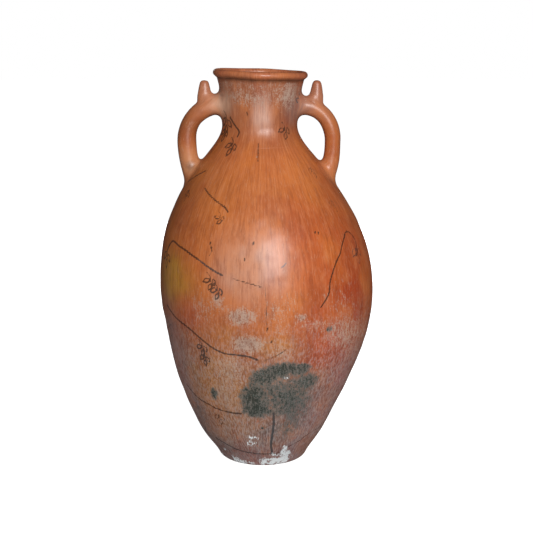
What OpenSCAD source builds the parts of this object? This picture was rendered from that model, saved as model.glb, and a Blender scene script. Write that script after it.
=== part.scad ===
// Two-handled water jar: hand-built, burnished earthenware with a nub of clay on each handle.
// The jar is a stack of clay rings luted together with slanted lap seams. Each handle is a bent
// roll of clay whose thinned ends pass through the wall, held by a smeared clay collar at each end.
// Millimetres. +Z is up, the origin is the centre of the resting face and the handles lie along X.

/* [Jar outline] */
// Height from the floor to the top of the lip
jar_h = 700; // [696:1:708]
// Width of the resting face
foot_w = 158; // [150:1:164]
// Width where the heel turns into the flank
heel_w = 199; // [195:1:204]
// Height where the heel turns into the flank
heel_z = 32; // [29:1:35]
// Width of the lower flank
flank_w = 263; // [257:1:268]
// Height of the lower flank
flank_z = 90; // [86:1:95]
// Width of the waist below the belly
waist_w = 331; // [325:1:337]
// Height of the waist below the belly
waist_z = 175; // [170:1:180]
// Width of the belly at its widest
belly_w = 382; // [376:1:388]
// Height of the widest ring
belly_z = 318; // [310:1:326]
// Width of the shoulder where it starts to close in
shoulder_w = 329; // [323:1:334]
// Height of the shoulder where it starts to close in
shoulder_z = 445; // [440:1:450]
// Width of the shoulder at its steepest
throat_w = 211; // [208:1:214]
// Height of the shoulder at its steepest
throat_z = 540; // [537:1:543]
// Width of the neck at its narrowest
neck_w = 133; // [131:1:136]
// Height of the narrowest ring of the neck
neck_z = 606; // [603:1:609]
// Width of the mouth over the lip
mouth_w = 164; // [162:1:168]

/* [Walls] */
// Thickness of the wall
wall = 9; // [8:0.5:10]
// Thickness of the wall just above the floor
heel_wall = 13; // [12:0.5:14]
// Thickness of the base disc
base_t = 13; // [12:0.5:14]
// Thickness of the rolled lip
lip_t = 12; // [11:0.5:13]
// How far a slanted seam climbs from the inside of the wall to the outside
lap = 12; // [8:1:14]

/* [Handles] */
// Thickness of a handle
grip_d = 32; // [30:1:33]
// Span over both handles
grip_span = 290; // [288:1:292]
// Height at which a handle leaves the neck
grip_z = 640; // [638:1:642]
// Radius of the upper bend, along the middle of the roll
bend_r = 60; // [59:1:61]
// Radius of the long lower curve, along the middle of the roll
fall_r = 190; // [186:1:196]
// Thickness of the handle ends that pass through the wall
tenon_d = 18; // [14:1:20]

/* [Lugs] */
// Distance of a lug from the middle of the jar
lug_x = 98; // [95:1:101]
// Height of the top of a lug
lug_top = 682; // [680:1:685]
// Width of a lug
lug_d = 25; // [23:1:27]
// Outward lean of a lug
lug_lean = 5; // [0:1:8]

/* [Collars] */
// Width of the collar where a handle meets the neck
upper_collar_d = 46; // [44:1:50]
// Width of the collar where a handle meets the shoulder
lower_collar_d = 62; // [58:1:64]

/* [Hidden] */
$fn = 96;

// Heights of the seams between the rings, at the middle of the wall
seam_flank = 52;
seam_waist = 168;
seam_belly = 292;
seam_shoulder = 428;
seam_neck = 566;
seam_lip = 680;
// Longest step between two outline points
step = 11;
foot_edge = 3;
lip_r = lip_t / 2;
mouth_r = mouth_w / 2;
grip_r = grip_d / 2;
// Middle of the upper bend, and the angle at which the lower curve reaches the shoulder
bend_x = grip_span / 2 - grip_r - bend_r;
bend_z = grip_z - bend_r;
fall_x = bend_x + bend_r - fall_r;
fall_turn = 22;
root_turn = 18;
tenon_run = 40;

// The outline's stations: height, radius and slope of the radius against height
STATIONS = [
    [0, foot_w / 2, 0.4],
    [heel_z, heel_w / 2, 0.76],
    [flank_z, flank_w / 2, 0.44],
    [waist_z, waist_w / 2, 0.33],
    [belly_z, belly_w / 2, 0],
    [shoulder_z, shoulder_w / 2, -0.46],
    [throat_z, throat_w / 2, -0.79],
    [neck_z, neck_w / 2, 0],
    [seam_lip + 2 * lip_t, mouth_r, 0.4]
];

// Smooth curve between the two stations on either side of height z
function station(z, i = 0) =
    i == len(STATIONS) - 2 || z <= STATIONS[i + 1][0] ? i : station(z, i + 1);
function curve(z, a, b, t) =
    (2 * t ^ 3 - 3 * t ^ 2 + 1) * a[1]
    + (t ^ 3 - 2 * t ^ 2 + t) * (b[0] - a[0]) * a[2]
    + (3 * t ^ 2 - 2 * t ^ 3) * b[1]
    + (t ^ 3 - t ^ 2) * (b[0] - a[0]) * b[2];
function radius(z) =
    let (a = STATIONS[station(z)], b = STATIONS[station(z) + 1])
    curve(z, a, b, (z - a[0]) / (b[0] - a[0]));
function slope(z) = (radius(z + 0.5) - radius(z - 0.5));

// A point of the outer surface, and the inner point straight through the wall from it
function wall_at(z) = wall + (heel_wall - wall) * max(0, 1 - z / seam_flank);
function outer(z) = [radius(z), z];
function inner(z) =
    let (m = slope(z), n = sqrt(1 + m ^ 2))
    [radius(z) - wall_at(z) / n, z + wall_at(z) * m / n];
function outer_run(z0, z1) =
    let (n = ceil((z1 - z0) / step)) [for (i = [0 : n]) outer(z0 + (z1 - z0) * i / n)];
function inner_run(z0, z1) =
    let (n = ceil((z1 - z0) / step)) [for (i = [n : -1 : 0]) inner(z0 + (z1 - z0) * i / n)];

// The floor corner inside the jar, and the slanted seam around the base disc
floor_r = inner(base_t)[0];
disc_top_r = floor_r - 6;
disc_low_r = disc_top_r - 9;

// The outline from the heel to the lip seam, through the same points as the rings
SEAMS = [seam_flank, seam_waist, seam_belly, seam_shoulder, seam_neck, seam_lip];
RINGS = len(SEAMS) - 1;
function drop_last(run) = [for (i = [0 : len(run) - 2]) run[i]];
function ring_outer(k) = outer_run(SEAMS[k] + lap / 2, SEAMS[k + 1] + lap / 2);
function ring_inner(k) = inner_run(SEAMS[k] - lap / 2, SEAMS[k + 1] - lap / 2);
function all_outer() = concat(
    drop_last(outer_run(foot_edge, seam_flank + lap / 2)),
    [for (k = [0 : RINGS - 1], p = drop_last(ring_outer(k))) p],
    [outer(seam_lip + lap / 2)]
);
function all_inner() = concat(
    [for (k = [RINGS - 1 : -1 : 0], p = drop_last(ring_inner(k))) p],
    [inner(seam_flank - lap / 2)]
);

clay_orange = [0.72, 0.34, 0.18];
clay_red = [0.62, 0.27, 0.15];
clay_brown = [0.50, 0.30, 0.21];
clay_grey = [0.60, 0.47, 0.40];

// The jar filled solid up to the lip, which trims whatever sits on the outside
module jar_body() {
    rotate_extrude()
        polygon(concat([[0, foot_edge]], all_outer(), [[0, seam_lip + lap / 2]]));
}

// The hollow of the jar above the heel, which trims the handle ends flush
module jar_hollow() {
    top = inner(seam_lip - lap / 2)[1];
    bottom = inner(seam_flank - lap / 2)[1];
    rotate_extrude()
        polygon(concat([[0, top]], all_inner(), [[0, bottom]]));
}

// Ring k of the wall, counted up from the heel: the outside of each seam is higher than its inside
module wall_ring(k) {
    rotate_extrude()
        polygon(concat(ring_outer(k), ring_inner(k)));
}

module base_disc() {
    color(clay_grey)
        cylinder(h = base_t, r1 = disc_low_r, r2 = disc_top_r);
}

module heel_ring() {
    color(clay_brown)
        rotate_extrude()
            polygon(concat(
                [[disc_low_r, 0], [foot_w / 2 - foot_edge, 0]],
                outer_run(foot_edge, seam_flank + lap / 2),
                inner_run(base_t + foot_edge, seam_flank - lap / 2),
                [[floor_r - foot_edge, base_t], [disc_top_r, base_t]]
            ));
}

module flank_ring() {
    color(clay_brown)
        wall_ring(0);
}

module waist_ring() {
    color(clay_red)
        wall_ring(1);
}

module belly_ring() {
    color(clay_orange)
        wall_ring(2);
}

module shoulder_ring() {
    color(clay_orange)
        difference() {
            wall_ring(3);
            both_sides() lower_tenon();
        }
}

module neck_ring() {
    color(clay_red)
        difference() {
            wall_ring(4);
            both_sides() upper_tenon();
        }
}

// The rolled lip: a round coil that leans out over the neck
module lip_coil() {
    lip_x = mouth_r - lip_r;
    lip_z = jar_h - lip_r;
    color(clay_orange)
        rotate_extrude()
            polygon(concat(
                [inner(seam_lip - lap / 2), outer(seam_lip + lap / 2)],
                [for (a = [-30 : 15 : 195]) [lip_x + lip_r * cos(a), lip_z + lip_r * sin(a)]]
            ));
}

module both_sides() {
    children();
    mirror([1, 0, 0]) children();
}

// A round bar bent upwards about a point of the XZ plane, from level with it through an angle
module bent_bar(bend, turn) {
    rotate([90, 0, 0])
        rotate_extrude(angle = turn)
            translate([bend, 0]) circle(grip_r);
}

module upper_tenon() {
    translate([bend_x, 0, grip_z])
        rotate([0, -90, 0])
            cylinder(h = tenon_run, d = tenon_d);
}

module lower_tenon() {
    translate([fall_x + fall_r * cos(root_turn), 0, bend_z - fall_r * sin(root_turn)])
        rotate([0, 180 + root_turn, 0])
            cylinder(h = tenon_run, d = tenon_d);
}

// The right-hand roll of clay without its tenons, running on into the wall at both ends
module grip() {
    translate([bend_x, 0, bend_z])
        bent_bar(bend_r, 90);
    translate([fall_x, 0, bend_z])
        mirror([0, 0, 1]) bent_bar(fall_r, fall_turn);
    translate([bend_x, 0, grip_z])
        rotate([0, -90, 0])
            cylinder(h = tenon_run / 2, r = grip_r);
}

module handle() {
    difference() {
        union() {
            difference() {
                grip();
                jar_body();
            }
            upper_tenon();
            lower_tenon();
        }
        jar_hollow();
    }
}

// A blunt nub of clay, pinched up on the handle to stop a carrying rope
module lug() {
    seat_z = bend_z + sqrt(bend_r ^ 2 - (lug_x - bend_x) ^ 2);
    seat_r = grip_r - 1.5;
    tip = 14;
    rise = lug_top - seat_z;
    difference() {
        translate([lug_x, 0, seat_z])
            rotate([0, lug_lean, 0])
                rotate_extrude()
                    polygon(concat(
                        [[0, 0], [seat_r, 0], [lug_d / 2 + 0.5, rise / 2]],
                        [for (a = [0 : 15 : 90]) [(lug_d / 2 - 1) * cos(a), rise - tip + tip * sin(a)]]
                    ));
        grip();
    }
}

// A collar of smeared clay whose foot lies on the wall: it narrows as it climbs the handle
module collar(foot_r, top_r, height) {
    rotate_extrude()
        polygon([
            [0, -height], [foot_r, -height], [foot_r, 0], [(foot_r + top_r) / 2, height * 0.25],
            [(foot_r + 3 * top_r) / 4, height * 0.55], [top_r, height], [0, height]
        ]);
}

module upper_collar() {
    difference() {
        translate([radius(grip_z), 0, grip_z])
            rotate([0, 97, 0])
                collar(upper_collar_d / 2, grip_r + 0.6, 16);
        grip();
        jar_body();
    }
}

module lower_collar() {
    root_x = fall_x + fall_r * cos(root_turn);
    root_z = bend_z - fall_r * sin(root_turn);
    difference() {
        translate([root_x, 0, root_z])
            rotate([0, 90 + atan(slope(root_z)), 0])
                collar(lower_collar_d / 2, grip_r - 3, 15);
        grip();
        jar_body();
    }
}

module left_side() {
    mirror([1, 0, 0]) children();
}

module right_handle() {
    color(clay_orange) handle();
}

module left_handle() {
    color(clay_orange) left_side() handle();
}

module right_lug() {
    color(clay_red) lug();
}

module left_lug() {
    color(clay_red) left_side() lug();
}

module right_upper_collar() {
    color(clay_grey) upper_collar();
}

module left_upper_collar() {
    color(clay_grey) left_side() upper_collar();
}

module right_lower_collar() {
    color(clay_grey) lower_collar();
}

module left_lower_collar() {
    color(clay_grey) left_side() lower_collar();
}

base_disc();
heel_ring();
flank_ring();
waist_ring();
belly_ring();
shoulder_ring();
neck_ring();
lip_coil();
left_handle();
right_handle();
left_lug();
right_lug();
left_upper_collar();
right_upper_collar();
left_lower_collar();
right_lower_collar();
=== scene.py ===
# %% [markdown]
# # A two-handled water jar of burnished clay
# The jar is built up the way a potter builds it: a base, rings of clay, a rolled lip, two bent
# handles with a nub on each, and smeared clay collars at the roots. Each is its own mesh in the
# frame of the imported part, which is loaded first so that every size can be checked against it.

import math

import bmesh
import bpy
import numpy as np
from mathutils import Matrix, Vector


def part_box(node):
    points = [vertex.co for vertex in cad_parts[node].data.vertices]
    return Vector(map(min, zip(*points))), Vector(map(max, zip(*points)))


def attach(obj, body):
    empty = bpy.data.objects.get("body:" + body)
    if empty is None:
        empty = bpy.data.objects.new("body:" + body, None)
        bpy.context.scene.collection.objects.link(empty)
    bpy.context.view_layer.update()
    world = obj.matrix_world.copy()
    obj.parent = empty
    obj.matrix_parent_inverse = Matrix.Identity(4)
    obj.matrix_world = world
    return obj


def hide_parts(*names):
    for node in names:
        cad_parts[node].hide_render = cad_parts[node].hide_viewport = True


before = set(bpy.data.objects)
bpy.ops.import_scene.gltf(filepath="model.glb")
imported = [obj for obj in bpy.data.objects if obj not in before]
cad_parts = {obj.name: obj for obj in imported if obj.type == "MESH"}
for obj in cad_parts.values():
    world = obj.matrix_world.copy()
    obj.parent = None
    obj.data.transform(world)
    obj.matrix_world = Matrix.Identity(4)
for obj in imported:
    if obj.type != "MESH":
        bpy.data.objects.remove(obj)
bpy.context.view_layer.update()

# %% [markdown]
# ## The jar's outline
# Every clay ring follows one outline. It could be drawn as a Bezier curve, but heights, radii and
# slopes at nine stations with a cubic between them are exact, and are the same as in the CAD part.

# %% Outline stations
MM = 0.001
# (height, radius, slope) in millimetres
STATIONS = np.array([
    (0, 79, 0.4), (32, 99.5, 0.76), (90, 131.5, 0.44), (175, 165.5, 0.33), (318, 191, 0),
    (445, 164.5, -0.46), (540, 105.5, -0.79), (606, 66.5, 0), (704, 82, 0.4),
])
SEAMS = [52 * MM, 168 * MM, 292 * MM, 428 * MM, 566 * MM, 680 * MM]
LAP = 12 * MM
WALL = 9 * MM
HEEL_WALL = 13 * MM
BASE = 13 * MM
# A radius between neck and belly, which sets the scale of patterns round the jar
TYPICAL_R = 0.15


def outline_radius(z):
    """The outer radius of the jar at height z, both in metres."""
    z = np.clip(np.asarray(z, float) / MM, 0, 703.9)
    low = np.clip(np.searchsorted(STATIONS[:, 0], z, side="right") - 1, 0, len(STATIONS) - 2)
    a, b = STATIONS[low], STATIONS[low + 1]
    span = b[..., 0] - a[..., 0]
    t = (z - a[..., 0]) / span
    start = (2 * t**3 - 3 * t**2 + 1) * a[..., 1] + (t**3 - 2 * t**2 + t) * span * a[..., 2]
    end = (3 * t**2 - 2 * t**3) * b[..., 1] + (t**3 - t**2) * span * b[..., 2]
    return (start + end) * MM


def outline_slope(z):
    """How fast the outer radius grows with height."""
    return (outline_radius(z + 0.5 * MM) - outline_radius(z - 0.5 * MM)) / MM


def through_wall(z):
    """The point of the inner surface straight through the wall from height z."""
    slope = float(outline_slope(z))
    length = math.sqrt(1 + slope * slope)
    wall = WALL + (HEEL_WALL - WALL) * max(0.0, 1 - z / SEAMS[0])
    return float(outline_radius(z)) - wall / length, z + wall * slope / length


belly_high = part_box("belly_ring")[1]
print("belly radius %.4f m, packed %.4f m" % (outline_radius(318 * MM), belly_high.x))

# %% [markdown]
# ## Hand-made unevenness
# A coil-built jar is never a perfect turning. The walls wander by a millimetre or two, the body
# leans a little one way and then the other, and the mouth is not quite level. One function gives
# this drift for any point, so all the pieces move together and their seams stay closed.

# %% Smooth noise round the jar
NOISE_HEIGHT = 0.74


def wander(angle, z, cell, seed):
    """Noise from -1 to 1 that closes on itself round the jar, in lumps of about cell metres."""
    turns = max(3, int(round(math.tau * TYPICAL_R / cell)))
    rows = int(NOISE_HEIGHT / cell) + 4
    grid = np.random.default_rng(seed).uniform(-1, 1, (rows, turns))
    u = (np.asarray(angle) / math.tau % 1.0) * turns
    v = np.clip(np.asarray(z) / cell + 1, 0, rows - 2.001)
    iu, iv = np.floor(u).astype(int), np.floor(v).astype(int)
    fu, fv = u - iu, v - iv
    fu, fv = fu * fu * (3 - 2 * fu), fv * fv * (3 - 2 * fv)
    left, right = iu % turns, (iu + 1) % turns
    below = grid[iv, left] * (1 - fu) + grid[iv, right] * fu
    above = grid[iv + 1, left] * (1 - fu) + grid[iv + 1, right] * fu
    return below * (1 - fv) + above * fv


def soft_step(x, low, high):
    """0 below low, 1 above high and smooth between."""
    t = np.clip((x - low) / (high - low), 0, 1)
    return t * t * (3 - 2 * t)


# %% Lean, wobble and tilt
LEDGE_Z = 262 * MM
MOUTH_TILT = 2.6 * MM
LEAN_Z = np.arange(0, 701, 50) * MM
LEAN_X = np.array([-0.5, -2, -0.5, 2, 5.5, 8, 6.5, 4.5, 1, -2, -5, -5, -5.5, -4.5, -4.5]) * MM


def lean(z):
    """How far the middle of the jar stands off the axis at height z."""
    total = 0
    for shift in (-18 * MM, -9 * MM, 0, 9 * MM, 18 * MM):
        total = total + np.interp(z + shift, LEAN_Z, LEAN_X)
    return total / 5


def from_axis(points):
    """How far points are from the jar's axis."""
    return np.hypot(points[:, 0], points[:, 1])


def settle(points):
    """Moves true-round points to where the hand-built wall really is."""
    x, y, z = points.T
    r = from_axis(points)
    angle = np.arctan2(x, -y)
    fade = soft_step(z, 0.0, 0.05)
    drift = 0.7 * MM * np.sin(2 * angle + 1.1 + 5 * z) + 0.5 * MM * np.sin(3 * angle + 9 * z)
    drift = drift + 1.1 * MM * wander(angle, z, 0.075, 11)
    drift = drift + 0.45 * MM * wander(angle, z, 0.026, 12)
    drift = drift + 0.16 * MM * wander(angle, z, 0.011, 13)
    ledge = np.exp(-((z - LEDGE_Z - 4 * MM * np.sin(angle)) / (10 * MM)) ** 2)
    drift = drift - 0.5 * MM * ledge * (0.5 + 0.5 * np.cos(angle + 0.3))
    drift = drift * np.minimum(1, r / 0.06) * (0.35 + 0.65 * fade)
    push = (r + drift) / np.maximum(r, 1e-9)
    moved = np.stack([x * push + lean(z), y * push, z], axis=1)
    tilt = soft_step(z, 0.60, 0.70) * (1 - soft_step(r, 0.083, 0.095))
    moved[:, 2] -= tilt * (MOUTH_TILT * x / (76 * MM) + 0.35 * MM * np.sin(5 * angle + 2))
    moved[:, 2] = np.maximum(moved[:, 2], 0)
    return moved


print("lean at the belly %.1f mm, at the mouth %.1f mm" % (lean(300 * MM) / MM, lean(690 * MM) / MM))

# %% [markdown]
# ## Drawing on the wall
# The worn painted branches, the smoke mark, the lime and the fire-flashed colours all lie on the
# surface. They could be image textures, but then they would have to be painted elsewhere. Here
# each mark is placed by an angle round the jar, from the front towards the right-hand handle, and
# a height. Their strength is stored on the mesh points, and the clay material reads it back.

# %% Places on the wall
def on_wall(degrees, height):
    """Points of the outer surface from angles in degrees and heights in millimetres."""
    z = np.asarray(height, float) * MM
    angle = np.radians(np.asarray(degrees, float))
    r = outline_radius(z)
    return np.stack([r * np.sin(angle), -r * np.cos(angle), z], axis=-1)


def flowing(knots, steps=10):
    """A smooth line through given knots."""
    p = np.array(knots, float)
    p = np.vstack([2 * p[0] - p[1], p, 2 * p[-1] - p[-2]])
    line = []
    for i in range(1, len(p) - 2):
        for t in np.linspace(0, 1, steps, endpoint=False):
            a = 2 * p[i] + (p[i + 1] - p[i - 1]) * t
            b = (2 * p[i - 1] - 5 * p[i] + 4 * p[i + 1] - p[i + 2]) * t**2
            c = (3 * p[i] - p[i - 1] - 3 * p[i + 1] + p[i + 2]) * t**3
            line.append((a + b + c) / 2)
    line.append(p[-2])
    return np.array(line)


# %% Brush strokes
strokes = []


def brush(knots, width=1.3, ink=1.0, blue=0.0):
    """A painted line through knots of degrees and millimetres, half of it width millimetres wide."""
    line = flowing(knots)
    strokes.append((on_wall(line[:, 0], line[:, 1]), width * MM, ink, blue))


def leaf(degrees, height, size, turn, ink=0.9, blue=0.0):
    """A small pointed leaf in outline, size millimetres long, turned from the vertical."""
    c, s = math.cos(math.radians(turn)), math.sin(math.radians(turn))
    r = float(outline_radius(height * MM)) / MM
    for way, start, strength in ((1, 0.0, 1.0), (-1, 0.12, 0.8)):
        t = np.linspace(start, 1, 9)
        along = (0.5 - t) * size
        across = way * np.sin(math.pi * t) ** 1.2 * size * 0.26
        u, v = along * s + across * c, along * c - across * s
        knots = np.stack([degrees + np.degrees(u / r), height + v * 0.95], axis=1)
        strokes.append((on_wall(knots[:, 0], knots[:, 1]), 1.1 * MM, ink * strength, blue))


def leaf_pair(degrees, height, size=15, turn=0, ink=0.85, blue=0.0):
    """Three pointed leaves that hang from a short stem."""
    r = float(outline_radius(height * MM)) / MM
    step = np.degrees(size * 0.46 / r)
    stem = [(degrees - step, height + size), (degrees, height + size * 0.5), (degrees, height)]
    brush(stem, 1.0, ink * 0.7, blue)
    leaf(degrees - step, height + 1, size, turn + 38, ink, blue)
    leaf(degrees + step, height - 1, size * 0.85, turn - 42, ink * 0.85, blue)
    leaf(degrees, height - size * 0.6, size * 0.9, turn - 4, ink * 0.9, blue)


# %% Branches on the front
brush([(-1, 226), (0, 270), (0, 300), (0, 355)], 1.0, 0.4, 0.6)
brush([(7, 122), (8, 100), (8, 75), (8, 52), (10, 33)], 1.9, 0.85, 0.6)
brush([(-2, 580), (-2, 566), (-2, 552)], 1.0, 0.5)
brush([(-50, 622), (-41, 610), (-32, 599), (-33, 590)], 1.3, 0.9)
brush([(-78, 508), (-66, 522), (-56, 532)], 1.2, 0.7)
brush([(-46, 506), (-38, 496), (-31, 488), (-24, 480), (-21, 473)], 1.2, 0.75)
brush([(-66, 396), (-64, 406), (-60, 414), (-53, 409), (-46, 404), (-37, 394)], 1.35, 0.9)
brush([(-37, 394), (-28, 380), (-22, 372)], 1.5, 0.8, 0.5)
brush([(-16, 368), (-10, 363), (-2, 356)], 1.1, 0.55)
brush([(-66, 298), (-60, 288), (-54, 280), (-46, 272), (-37, 256), (-31, 245)], 1.3, 1.0)
brush([(-31, 245), (-26, 239), (-22, 236), (-17, 236), (-10, 234), (-5, 228)], 1.5, 0.8, 0.3)
brush([(0, 229), (5, 236), (10, 247)], 1.2, 0.45)
brush([(-62, 152), (-55, 140), (-48, 132), (-40, 128), (-34, 123), (-24, 120), (-15, 120)], 1.3, 0.75)
brush([(11, 126), (14, 134), (17, 143)], 1.2, 0.5, 0.4)
brush([(55, 427), (50, 414), (46, 399), (41, 384), (36, 360), (34, 336), (29, 316)], 1.2, 0.85)
brush([(54, 427), (58, 431), (62, 424), (64, 412), (63, 396), (60, 388)], 1.5, 0.55)
brush([(-48, 52), (-38, 46), (-31, 40), (-23, 35), (-13, 32), (-1, 30), (9, 30)], 1.3, 0.85, 0.5)
brush([(9, 30), (16, 30), (22, 38), (28, 47), (34, 52), (43, 64), (60, 70)], 1.2, 0.55, 0.3)

# %% Leaves on the front
for entry in (
    (-60, 612, 20, 0, 1.0), (-62, 594, 14, 10, 1.0), (-38, 574, 15, 20, 0.95),
    (-64, 492, 12, 0, 0.6), (-26, 463, 11, 60, 0.6), (-66, 384, 20, 0, 1.0),
    (-29, 360, 15, 30, 0.9), (-25, 345, 14, 30, 0.9, 0.3), (-37, 240, 15, 20, 0.9, 0.3),
    (-36, 221, 14, 0, 0.95, 0.3), (-68, 258, 20, 0, 0.6, 0.6), (-33, 104, 14, 10, 0.55),
    (40, 600, 15, 25, 0.7), (54, 532, 12, 10, 0.5), (57, 478, 14, 0, 0.45),
    (62, 394, 20, 10, 0.6, 0.4), (76, 650, 16, 70, 0.9, 1.0), (84, 640, 14, 80, 0.75, 1.0),
):
    leaf_pair(*entry)
DABS = [(-29, 415), (-30, 422), (34, 437), (32, 439), (-5, 426), (0, 284), (2, 262), (-10, 400)]
for degrees, height in DABS:
    brush([(degrees, height - 1.5), (degrees + 0.3, height + 1.5)], 1.3, 0.75)
brush([(-29.5, 418), (-28.6, 410), (-29.8, 402)], 1.2, 0.5)
brush([(9, 386), (10.5, 390), (12, 394)], 1.3, 0.5, 0.8)
brush([(-88, 634), (-89, 642), (-90, 650)], 1.2, 0.5, 0.8)
brush([(-20, 632), (-19, 627)], 1.2, 0.5)

# %% [markdown]
# The back and the sides get the same kind of branch, because the painter went round the jar: a
# rising stem with side branches that droop to the left and to the right, each with a few leaves.

# %% Branches round the back
painter = np.random.default_rng(5)
for stem in (112, 158, 204, 248):
    brush([(stem, 60), (stem + 2, 180), (stem - 2, 320), (stem + 1, 450), (stem, 540)], 1.1, 0.5, 0.3)
    for height in (140, 235, 345, 455):
        side = 1 if (height + stem) % 3 < 1.5 else -1
        reach = 30 * 150 / (float(outline_radius(height * MM)) / MM)
        rise = height + painter.uniform(-12, 12)
        tip = stem + side * reach
        knots = [(stem, rise - 22), (stem + side * reach * 0.35, rise - 6)]
        knots += [(stem + side * reach * 0.75, rise + 20), (tip, rise + 34)]
        brush(knots, 1.3, painter.uniform(0.55, 0.95), painter.uniform(0, 0.5))
        leaf_pair(tip - side * 3, rise + 16, painter.uniform(13, 18), side * 25, 0.8)
        leaf_pair(stem + side * reach * 0.45, rise - 24, 14, side * 10, painter.uniform(0.5, 0.9))
for start in range(70, 300, 46):
    brush([(start, 68), (start + 14, 44), (start + 30, 34), (start + 46, 66)], 1.2, 0.6, 0.4)
print("%d strokes drawn" % len(strokes))


# %% Reading the strokes back
def ink_at(points):
    """For each point: how much ink reaches it, and how blue that ink is."""
    ink = np.zeros(len(points))
    blue = np.zeros(len(points))
    reach = 5 * MM
    for line, width, strength, hue in strokes:
        low, high = line.min(0) - reach, line.max(0) + reach
        near = np.nonzero(np.all((points > low) & (points < high), axis=1))[0]
        if not len(near):
            continue
        p = points[near]
        best = np.full(len(near), 1.0)
        for a, b in zip(line[:-1], line[1:]):
            ab = b - a
            t = np.clip(((p - a) @ ab) / max(float(ab @ ab), 1e-12), 0, 1)
            best = np.minimum(best, np.linalg.norm(p - a - t[:, None] * ab, axis=1))
        cover = strength * (1 - soft_step(best, width * 0.4, width * 1.7))
        stronger = cover > ink[near]
        blue[near] = np.where(stronger, hue, blue[near])
        ink[near] = np.maximum(ink[near], cover)
    return ink, blue


# %% [markdown]
# ## Patches of colour
# Open firing leaves flashes of ochre and red, smoke leaves dark clouds, and standing on damp
# ground leaves lime and a grey haze. Each patch is an oval with a soft edge that the clay
# material later makes ragged with noise.

# %% Swatches and patches
def swatch(r, g, b):
    """A fired-clay colour from 0 to 255 a channel, as linear light."""
    c = np.array([r, g, b]) / 255
    return np.where(c <= 0.04045, c / 12.92, ((c + 0.055) / 1.055) ** 2.4)


def patch(angle, z, degrees, height, half_width, half_height, power=1.0):
    """1 in the middle of an oval on the wall, fading out to 0 at about its half sizes."""
    r = float(outline_radius(height * MM))
    turn = (angle - math.radians(degrees) + math.pi) % math.tau - math.pi
    u = turn * r / (half_width * MM)
    v = (z - height * MM) / (half_height * MM)
    return power * np.exp(-1.1 * (u * u + v * v) ** 1.5)


def gather(angle, z, patches):
    """Several patches flowing into each other, from 0 to 1."""
    clear = np.ones(len(angle))
    for entry in patches:
        clear = clear * (1 - np.clip(patch(angle, z, *entry), 0, 1))
    return 1 - clear


# %% The fired colour from foot to lip
TONE_Z = np.array([0, 40, 90, 150, 205, 245, 285, 330, 420, 500, 560, 590, 625, 660, 684, 690, 700])
TONES = np.array([swatch(*tone) for tone in (
    (154, 130, 128), (150, 130, 124), (146, 126, 118), (148, 120, 104), (156, 112, 86), (170, 102, 66),
    (180, 100, 54), (188, 104, 50), (188, 103, 48), (184, 103, 50), (186, 102, 52), (168, 94, 52),
    (158, 92, 58), (154, 94, 66), (150, 90, 62), (176, 102, 64), (180, 104, 68),
)])
# (colour, degrees, height, half width, half height, strength)
# Fire flashes of colour; two pale entries are painted sheen, on the belly and on the neck.
FLASHES_AND_SHEEN = [
    ((162, 62, 24), 54, 350, 98, 130, 0.92),
    ((176, 74, 42), 36, 230, 60, 44, 0.85),
    ((178, 80, 40), 30, 290, 60, 40, 0.6),
    ((180, 84, 38), 28, 410, 56, 90, 0.65),
    ((166, 110, 106), 54, 150, 70, 80, 0.8),
    ((146, 118, 118), 26, 95, 60, 60, 0.8),
    ((184, 130, 44), -59, 350, 58, 46, 1.0),
    # Painted sheen: the pale haze of the belly's highlight.
    ((190, 150, 132), -9, 385, 60, 62, 0.55),
    # A pale patch where the neck's highlight falls: painted highlight over worn pale clay.
    ((202, 162, 144), 3, 628, 18, 32, 0.8),
    ((122, 62, 38), 48, 636, 34, 52, 0.6),
    ((98, 96, 94), 12, 96, 54, 54, 0.85),
    ((112, 98, 92), 24, 150, 60, 44, 0.6),
    ((190, 130, 74), -28, 178, 66, 60, 0.8),
    ((174, 126, 90), -22, 100, 50, 50, 0.7),
    ((188, 148, 140), -66, 190, 44, 110, 0.9),
    ((182, 84, 52), -46, 300, 40, 34, 0.6),
    ((178, 122, 64), 4, 252, 34, 18, 0.6),
    ((176, 112, 60), -20, 268, 34, 22, 0.6),
    ((176, 116, 58), -16, 172, 26, 34, 0.5),
    ((168, 86, 26), -76, 500, 46, 100, 0.8),
    ((174, 84, 40), 70, 500, 40, 100, 0.6),
    ((148, 110, 112), 20, 24, 90, 26, 0.5),
    ((190, 92, 46), 110, 380, 90, 90, 0.7),
    ((166, 108, 62), 165, 300, 80, 70, 0.7),
    ((150, 92, 78), 200, 150, 110, 80, 0.6),
    ((192, 86, 44), 235, 400, 80, 90, 0.7),
    ((164, 104, 48), 262, 300, 50, 60, 0.7),
]


def fired_colour_and_painted_light(angle, z):
    """The broad colour of the clay with two patches of painted sheen, before streaks, specks and marks.
    """
    height = z / MM + 7 * wander(angle, z, 0.05, 21) + 4 * wander(angle, z, 0.018, 22)
    colour = np.stack([np.interp(height, TONE_Z, TONES[:, i]) for i in range(3)], axis=1)
    for tint, degrees, middle, half_width, half_height, strength in FLASHES_AND_SHEEN:
        share = patch(angle, z, degrees, middle, half_width, half_height, strength)
        share = np.clip(share * (1 + 0.35 * wander(angle, z, 0.024, 23)), 0, 1)
        colour = colour + (swatch(*tint) - colour) * share[:, None]
    return colour


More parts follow.
